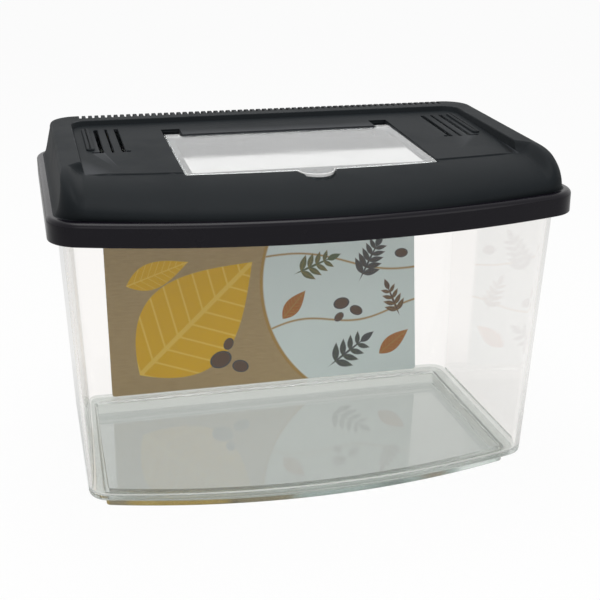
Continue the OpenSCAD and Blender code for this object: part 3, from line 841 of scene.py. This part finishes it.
def carve(body, tools, operation="DIFFERENCE"):
    """Applies a boolean with each tool object in turn, and removes the tools."""
    for tool in tools:
        cut = body.modifiers.new("cut", "BOOLEAN")
        cut.operation = operation
        cut.solver = "MANIFOLD"
        cut.object = tool
        graph = bpy.context.evaluated_depsgraph_get()
        shaped = bpy.data.meshes.new_from_object(body.evaluated_get(graph))
        body.modifiers.clear()
        body.data = shaped
        bpy.data.objects.remove(tool)
    return body


def stadium(middle_x, middle_y, width, length, steps=8):
    """Outline of a slot with round ends, along y: two half circles joined by straight sides."""
    half_turns = [np.linspace(start, start + math.pi, steps + 1) for start in (0, math.pi)]
    angle = np.concatenate(half_turns)
    end = np.repeat([1, -1], steps + 1) * (length - width) / 2
    return middle_x + width / 2 * np.cos(angle), middle_y + end + width / 2 * np.sin(angle)


def box_outline(x0, x1, y0, y1):
    """Outline of a rectangle, as corner points."""
    return np.array([x1, x1, x0, x0], float), np.array([y0, y1, y1, y0], float)


def disc_outline(middle_x, middle_y, radius, steps=48):
    """Outline of a circle."""
    angle = np.arange(steps) / steps * 2 * math.pi
    return middle_x + radius * np.cos(angle), middle_y + radius * np.sin(angle)


def prism(outline, levels):
    """A stack over an outline: each level is (height, widening), and the widening moves each point
    away from the outline's middle, side by side."""
    x, y = outline
    out_x = np.sign(np.round(x - (x.max() + x.min()) / 2, 6))
    out_y = np.sign(np.round(y - (y.max() + y.min()) / 2, 6))
    height, grow = (np.array(column)[:, None] for column in zip(*levels))
    return x + grow * out_x, y + grow * out_y, height + 0 * (x + grow)


def bevelled(outline, low, high):
    """A prism that is a little wider above z = 0, so that what it cuts gets a small bevel."""
    return prism(outline, [(low, 0), (-BEVEL, 0), (0.02, BEVEL), (high, BEVEL)])


def joined(name, plane, stacks):
    """One object made of several separate closed stacks, each in the axes of the plane."""
    points, faces, start = [], [], 0
    for stack in stacks:
        placed, skin = stack_rings(*stack)
        points.append(plane(placed))
        faces += [[start + corner for corner in face] for face in skin]
        start += len(placed)
    return mesh_piece(name, np.concatenate(points), faces)


def recess_cutter():
    """The space above the panel: its outline is a rectangle with round back corners, open past the
    visor. Its side leans out to the border's edge, and a small round takes that edge off."""
    past_front = -RIM_PLAN[2] - 20
    edge = 0.8 * STEP_WIDTH
    round_edge = [(edge + STEP_ROUND * s * s, STEP_ROUND * (s - 1)) for s in np.linspace(0, 1, 6)]
    rows = [(0, 0, -0.02)] + [(out, 1, up) for out, up in round_edge]
    rows += [(round_edge[-1][0], 1, 0.05), (round_edge[-1][0], 1, 10)]
    quarter = np.linspace(0, math.pi / 2, 17)
    xs, ys, zs = [], [], []
    for grow, share, lift in rows:
        half, back = panel_half + grow, panel_back + grow
        turn_x, turn_y = PANEL_CORNER * np.cos(quarter), PANEL_CORNER * np.sin(quarter)
        side_y = np.linspace(past_front, back - PANEL_CORNER, 30)[:-1]
        corner_x, corner_y = half - PANEL_CORNER + turn_x, back - PANEL_CORNER + turn_y
        x = np.concatenate([half + 0 * side_y, corner_x, -corner_x[::-1], -half + 0 * side_y])
        y = np.concatenate([side_y, corner_y, corner_y[::-1], side_y[::-1]])
        xs.append(x)
        ys.append(y)
        zs.append(panel_height(y) + share * (border_height(y) - panel_height(y)) + lift)
    return solid_piece("recess", (np.array(xs), np.array(ys), np.array(zs)))


CREASE_BEAD = (1.3, 0.7, 126.5)


def crease_bead():
    """A fine raised bead along the crease: half an ellipse swept along the crease's arc."""
    half_width, height, reach = CREASE_BEAD
    x = np.linspace(-reach, reach, 120)[:, None]
    fade = smooth_step((reach - np.abs(x)) / 12)
    angle = np.linspace(0, math.pi, 9)[None, :]
    across = np.concatenate([half_width * np.cos(angle), [[-half_width, half_width]]], axis=1)
    up = np.concatenate([height * np.sin(angle), [[-0.8, -0.8]]], axis=1)
    y = crease_line(x) + across
    z = panel_height(y) + np.where(up > 0, up * fade - 0.05 * (1 - fade), up) - 0.02
    return solid_piece("bead", (x + 0 * y, y, z))


HATCH_WIDTH = 145.0
HATCH_LENGTH = 91.4
HATCH_SINK = 1.0
HATCH_THICKNESS = 2.0
HATCH_OVERHANG = 3.7
HATCH_GAP = 0.8
HATCH_SEAT = 0.25
HATCH_LEDGE = 4.0
TAB_WIDTH = 21.0
TAB_LENGTH = 10.0
DISH_RADIUS = 14.0
DISH_DEPTH = 4.0
EAR_WIDTH = 9.4
KNUCKLE_RADIUS = 1.9
KNUCKLE_BACK = 5.8
EAR_GAP = 7.0
PIN_RADIUS = 1.2
PIN_LENGTH = 3.4
PIN_GAP = 0.05
SOCKET_END = 0.6
hatch_half = HATCH_WIDTH / 2
hatch_front = crease_y - HATCH_OVERHANG
hatch_back = hatch_front + HATCH_LENGTH
hatch_slope = panel_slope - HATCH_SINK / (hatch_back - crease_y)
hinge_y = hatch_back + KNUCKLE_BACK
tab_radius = TAB_WIDTH / 2
tab_y = hatch_front - TAB_LENGTH + tab_radius
recess_depth = HATCH_THICKNESS + HATCH_SEAT
pocket_width = EAR_WIDTH + 2 * HATCH_GAP
pocket_depth = 2 * KNUCKLE_RADIUS + HATCH_GAP / 2
pocket_end = hinge_y + KNUCKLE_RADIUS + EAR_GAP
socket_length = PIN_LENGTH - HATCH_GAP + SOCKET_END
hole_half = hatch_half - HATCH_LEDGE
hole_front = crease_y + HATCH_LEDGE
hole_back = hatch_back - HATCH_LEDGE


def on_hatch(points):
    """The hatch's plane, which sinks below the panel from the crease to the hatch's back edge."""
    return tilt(points, crease_z - hatch_slope * crease_y, hatch_slope)


def ball(radius, middle_y, middle_z, steps=40):
    """A sphere as a stack of circles, from its lowest point to its highest."""
    rise = np.linspace(-math.pi / 2 + 0.02, math.pi / 2 - 0.02, steps)[:, None]
    x, y = disc_outline(0, 0, 1.0, 96)
    reach = radius * np.cos(rise)
    return reach * x, middle_y + reach * y, middle_z + radius * np.sin(rise) + 0 * x


def hatch_frame():
    """Blocks under the panel that carry the hatch's seat, its tab, the dish and the hinge sockets."""
    around = HATCH_GAP + LID_WALL
    half, depth = hatch_half + around, recess_depth + LID_WALL
    front = hatch_front - around
    seat = box_outline(-half, half, front, hatch_back + around)
    tab = box_outline(-tab_radius - around, tab_radius + around, front - TAB_LENGTH, front + 3)
    blocks = [joined("seat_block", on_hatch, [prism(seat, [(-depth, 0), (0, 0)])])]
    blocks.append(joined("tab_block", on_hatch, [prism(tab, [(-depth, 0), (-0.03, 0)])]))
    wall = ball(DISH_RADIUS + LID_WALL, hatch_front - TAB_LENGTH, DISH_RADIUS - DISH_DEPTH)
    blocks.append(joined("dish_block", on_hatch, [wall]))
    sockets = []
    for side in (-1, 1):
        inner = hatch_half + HATCH_GAP - pocket_width - LID_WALL
        outer = hatch_half + HATCH_GAP + socket_length + LID_WALL
        edges = sorted((side * inner, side * outer))
        block = box_outline(*edges, hole_back + 0.02, pocket_end + LID_WALL)
        sockets.append(prism(block, [(-pocket_depth - LID_WALL, 0), (-0.06, 0)]))
    blocks.append(joined("socket_blocks", on_hatch, sockets))
    return blocks


def rod(start, stop, radius, chamfer, steps=40):
    """A stack along x at the hinge's height: a cylinder whose ends are chamfered."""
    angle = np.arange(steps) / steps * 2 * math.pi
    x = np.array([start, start + chamfer, stop - chamfer, stop])[:, None]
    reach = np.array([radius - chamfer, radius, radius, radius - chamfer])[:, None]
    return x + 0 * angle, hinge_y + reach * np.cos(angle), reach * np.sin(angle) - KNUCKLE_RADIUS


def seat_outline(grow):
    """Outline of the hatch's seat: straight sides and back, and a front that follows the crease."""
    half, back = hatch_half + grow, hatch_back + grow
    x = np.linspace(-half, half, 60)
    y = hatch_front + crease_radius - np.sqrt((crease_radius + grow) ** 2 - x**2)
    return np.concatenate([x, [half, -half]]), np.concatenate([y, [back, back]])


def hatch_cutters():
    """The hatch's seat, its hole, the tab's pocket, the finger dish, the ears' pockets and the pins'
    sockets."""
    seat = bevelled(seat_outline(HATCH_GAP), -recess_depth, 6)
    tab = bevelled(disc_outline(0, tab_y, tab_radius + HATCH_GAP, 72), -recess_depth - 0.01, 6.5)
    dish = ball(DISH_RADIUS, hatch_front - TAB_LENGTH, DISH_RADIUS - DISH_DEPTH)
    opening = box_outline(-hole_half, hole_half, hole_front, hole_back)
    rim = -recess_depth
    levels = [(-THROUGH, 0), (rim - BEVEL, 0), (rim + 0.02, BEVEL), (4, BEVEL)]
    wide = hatch_half + HATCH_GAP
    pockets, sockets = [], []
    for side in (-1, 1):
        edges = sorted((side * wide, side * (wide - pocket_width)))
        pockets.append(bevelled(box_outline(*edges, hatch_back - 0.02, pocket_end), -pocket_depth, 5))
        ends = sorted((side * (wide - LID_WALL / 2), side * (wide + socket_length)))
        sockets.append(rod(*ends, PIN_RADIUS + PIN_GAP, 0.1))
    shapes = {"seat": [seat], "tab_pocket": [tab], "dish": [dish], "hole": [prism(opening, levels)],
              "pockets": pockets, "sockets": sockets}
    return [joined(name, on_hatch, stacks) for name, stacks in shapes.items()]


WING_PITCH = 6.4
WING_SLOTS = (2.6, 1.4, 2.6)
WING_LENGTH = 56.0
WING_BACK = 11.4
WING_FOOT = 7.0
RIB_EDGE = 7.0
RIB_PITCH = 6.2
RIB_WIDTH = 4.6
RIB_HEIGHT = 1.2
RIB_CROWN = ((0, 0.7), (0.06, 0.45), (0.25, 0.2), (0.6, 0.05), (1.0, 0))
AIR_HOLE = 3.0
wing_y = panel_back - WING_BACK - WING_LENGTH / 2
rib_x = panel_half - RIB_EDGE


def wing_cutters():
    """The long slots of both wings, the outermost one's turned foot, and the innermost one's hole."""
    slots, extras = [], []
    wide = WING_SLOTS[0]
    places = [rib_x - RIB_PITCH - i * WING_PITCH for i in range(len(WING_SLOTS))]
    for side in (-1, 1):
        slots += [stadium(side * x, wing_y, width, WING_LENGTH) for x, width in zip(places, WING_SLOTS)]
        foot_x = side * (places[0] + (WING_FOOT - wide) / 2)
        foot = stadium(wing_y - (WING_LENGTH - wide) / 2, foot_x, wide, WING_FOOT)
        extras.append((foot[1][::-1], foot[0][::-1]))
        hole = (side * (places[-1] - wide), wing_y - (WING_LENGTH - AIR_HOLE) / 2)
        extras.append(disc_outline(*hole, AIR_HOLE / 2, 24))
    groups = (("wing_slots", slots), ("wing_extras", extras))
    return [joined(name, on_panel, [bevelled(outline, -THROUGH, THROUGH) for outline in group])
            for name, group in groups]


def wing_ribs():
    """A raised rib with round ends and a rounded top beside each group of slots."""
    length = WING_LENGTH - 2 * WING_SLOTS[0]
    crown = [(RIB_HEIGHT - drop, -cut) for cut, drop in RIB_CROWN]
    outlines = [stadium(side * rib_x, wing_y + WING_SLOTS[0], RIB_WIDTH, length, 14) for side in (-1, 1)]
    ribs = [prism(outline, [(-LID_WALL / 2, 0.12), (0.0, 0.12)] + crown) for outline in outlines]
    return joined("ribs", on_panel, ribs)


COMB_PITCH = 4.1
COMB_SLOT = 2.0
COMB_DROP = 8.0
COMB_END = 16.0
COMB_FRONT = 8.0


def comb_cutters():
    """A row of upright slots over the back edge, from the border's top out through the back wall."""
    half = top_half - COMB_END
    count = int(2 * half // COMB_PITCH)
    front = top_back - BORDER_BACK + COMB_FRONT
    base = border_height(top_back) - COMB_DROP
    places = (np.arange(count + 1) - count / 2) * COMB_PITCH
    slots = [prism(box_outline(x - COMB_SLOT / 2, x + COMB_SLOT / 2, front, RIM_PLAN[1] + 5),
                   [(base, 0), (border_top + 5, 0)]) for x in places]
    return joined("comb_slots", lambda points: points, slots)


def make_lid():
    """Outside minus hollow, recess and every cut, with the bead and the ribs raised on the panel."""
    hollow = carve(lid_inside(), hatch_frame())
    body = carve(lid_outside(), [hollow, recess_cutter()])
    carve(body, [crease_bead(), wing_ribs()], "UNION")
    carve(body, hatch_cutters() + wing_cutters() + [comb_cutters()])
    sharpen(body, 24)
    return body


# Edges grow paler from this pointiness on: partly wear, partly a painted highlight.
EDGE_WEAR_AND_HIGHLIGHT_FROM = 0.52
EDGE_WEAR_AND_HIGHLIGHT_GAIN = 6.0


def moulded_black(name, colours, gloss, smooth, grain_strength):
    """Black polypropylene with a fine spark-eroded grain, a soft mottle, and paler edges that are partly
    wear and partly a painted highlight. The colours are the two tones of the mottle and that of the
    edges."""
    material, tree, output = new_material(name)
    place = node(tree, "TexCoord").outputs["Object"]
    mottle = node(tree, "TexNoise", Vector=place, Scale=30.0, Detail=3.0).outputs[0]
    pointed = node(tree, "NewGeometry").outputs["Pointiness"]
    # Paler where the mesh is pointed: edge wear, plus a painted highlight along rounded edges and the
    # crease bead.
    edge_wear_and_highlight = maths(tree, "SUBTRACT", pointed, EDGE_WEAR_AND_HIGHLIGHT_FROM, clamp=True)
    edge_wear_and_highlight = maths(tree, "MULTIPLY", edge_wear_and_highlight, EDGE_WEAR_AND_HIGHLIGHT_GAIN)
    wear_and_highlight_colour = blend(tree, edge_wear_and_highlight, blend(tree, mottle, colours[0], colours[1]), colours[2])
    marked = node(tree, "Group", node_tree=HANDLING, Smooth=smooth, Smudge=0.3).outputs
    grain = node(tree, "TexNoise", Vector=place, Scale=1800.0, Detail=2.0).outputs[0]
    bump = node(tree, "Bump", Strength=grain_strength, Distance=0.0001, Height=grain)
    plastic = node(tree, "BsdfPrincipled", Base_Color=wear_and_highlight_colour, Specular_IOR_Level=gloss,
                   Roughness=marked["Roughness"], Normal=bump.outputs[0])
    wire(tree, plastic, output)
    return material


# The third colour of each is that of the paler edges: wear, plus a painted highlight.
GRAINED = ((0.009, 0.011, 0.0125, 1.0), (0.012, 0.0145, 0.0165, 1.0), (0.04, 0.043, 0.047, 1.0))
POLISHED = ((0.004, 0.0033, 0.006, 1.0), (0.0055, 0.0045, 0.0075, 1.0), (0.03, 0.028, 0.034, 1.0))
lid = make_lid()
wear(
    lid,
    moulded_black("grained_black", GRAINED, 0.05, 0.5, 0.3),
    moulded_black("polished_black", POLISHED, 0.16, 0.24, 0.1),
)
lid.data.polygons.foreach_set("material_index", (face_centres(lid)[2] < dome_z + 0.1).astype(int))
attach(lid, "lid")
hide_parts("lid")


# Hatch
# A clear polystyrene plate that closes the feeding hole. It has a frosted thumb tab in front, and
# two ears at the back whose knuckles and pins snap into the lid's sockets.
HATCH_CORNER = 1.4
TAB_FILLET = 1.6
HATCH_EDGE = 0.35


def hatch_front_line(x):
    """The hatch's front edge: the crease's arc, further forward."""
    return hatch_front + crease_radius - np.sqrt(crease_radius**2 - x**2)


def hatch_outline():
    """Outline of the plate and its tab as points and outward normals: straight sides and back, the
    crease's arc in front, the tab's circle, and small fillets where the circle leaves the arc."""
    half, corner = hatch_half, HATCH_CORNER
    front_end = hatch_front_line(half - corner)
    front_tab = hatch_front + tab_radius**2 / (2 * crease_radius)
    drop = front_tab - TAB_FILLET - tab_y
    fillet_x = math.sqrt((tab_radius + TAB_FILLET) ** 2 - drop**2)
    joint = math.atan2(-drop, fillet_x)
    pieces = []

    def arc(middle_x, middle_y, radius, start, stop, count, inward=False):
        angle = np.radians(np.linspace(start, stop, count))
        cosine, sine = np.cos(angle), np.sin(angle)
        face = -1 if inward else 1
        pieces.append((middle_x + radius * cosine, middle_y + radius * sine, face * cosine, face * sine))

    def front(start, stop, count):
        x = np.linspace(start, stop, count)
        y = hatch_front_line(x)
        pieces.append((x, y, x / crease_radius, (y - hatch_front - crease_radius) / crease_radius))

    low = math.degrees(joint)
    arc(half - corner, hatch_back - corner, corner, 0, 90, 7)
    arc(corner - half, hatch_back - corner, corner, 90, 180, 7)
    arc(corner - half, front_end + corner, corner, 180, 270, 7)
    front(corner - half + 0.2, -fillet_x - 0.2, 24)
    arc(-fillet_x, front_tab - TAB_FILLET, TAB_FILLET, 90, low, 7, inward=True)
    arc(0, tab_y, tab_radius, 180 + low, 360 - low, 40)
    arc(fillet_x, front_tab - TAB_FILLET, TAB_FILLET, 180 - low, 90, 7, inward=True)
    front(fillet_x + 0.2, half - corner - 0.2, 24)
    arc(half - corner, front_end + corner, corner, 270, 360, 7)
    return tuple(np.concatenate(column) for column in zip(*pieces))


def make_hatch():
    """The plate with rounded edges, then the ears, knuckles and pins joined to it."""
    x, y, out_x, out_y = hatch_outline()
    edge = round_over(HATCH_EDGE, 4)
    rows = [(cut, -HATCH_THICKNESS + HATCH_EDGE - rise) for cut, rise in edge[::-1]]
    rows += [(cut, -HATCH_EDGE + rise) for cut, rise in edge]
    cut, height = (np.array(column)[:, None] for column in zip(*rows))
    skin = (x - cut * out_x, y - cut * out_y, height + 0 * x * cut)
    plate = joined("hatch_moulding", on_hatch, [skin])
    ears, knuckles, pins = [], [], []
    for side in (-1, 1):
        edges = sorted((side * hatch_half, side * (hatch_half - EAR_WIDTH)))
        ear = box_outline(edges[0] + 0.1, edges[1] - 0.1, hatch_back - HATCH_THICKNESS, hinge_y)
        ears.append(prism(ear, [(-HATCH_THICKNESS + 0.02, 0), (-0.02, 0)]))
        knuckles.append(rod(*edges, KNUCKLE_RADIUS, 0.25))
        reach = sorted((side * (hatch_half - EAR_WIDTH / 2), side * (hatch_half + PIN_LENGTH)))
        pins.append(rod(*reach, PIN_RADIUS, 0.3))
    parts = [joined(name, on_hatch, stacks) for name, stacks in
             (("ears", ears), ("knuckles", knuckles), ("pins", pins))]
    carve(plate, parts, "UNION")
    sharpen(plate, 35)
    return plate


HATCH_TINT = (0.86, 0.87, 0.87, 1.0)
TAB_TINT = (1.0, 1.0, 0.99, 1.0)
HATCH_MARKS = {"Smooth": 0.03, "Smudge": 0.15}
TAB_MARKS = {"Smooth": 0.35, "Smudge": 0.3}
hatch = make_hatch()
wear(
    hatch,
    clear_plastic("hazy_polystyrene", HATCH_TINT, 0.94, HATCH_MARKS),
    clear_plastic("frosted_polystyrene", TAB_TINT, 0.08, TAB_MARKS),
)
across, along, _ = face_centres(hatch)
hatch.data.polygons.foreach_set("material_index", (along < hatch_front_line(across)).astype(int))
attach(hatch, "hatch")
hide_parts("hatch")
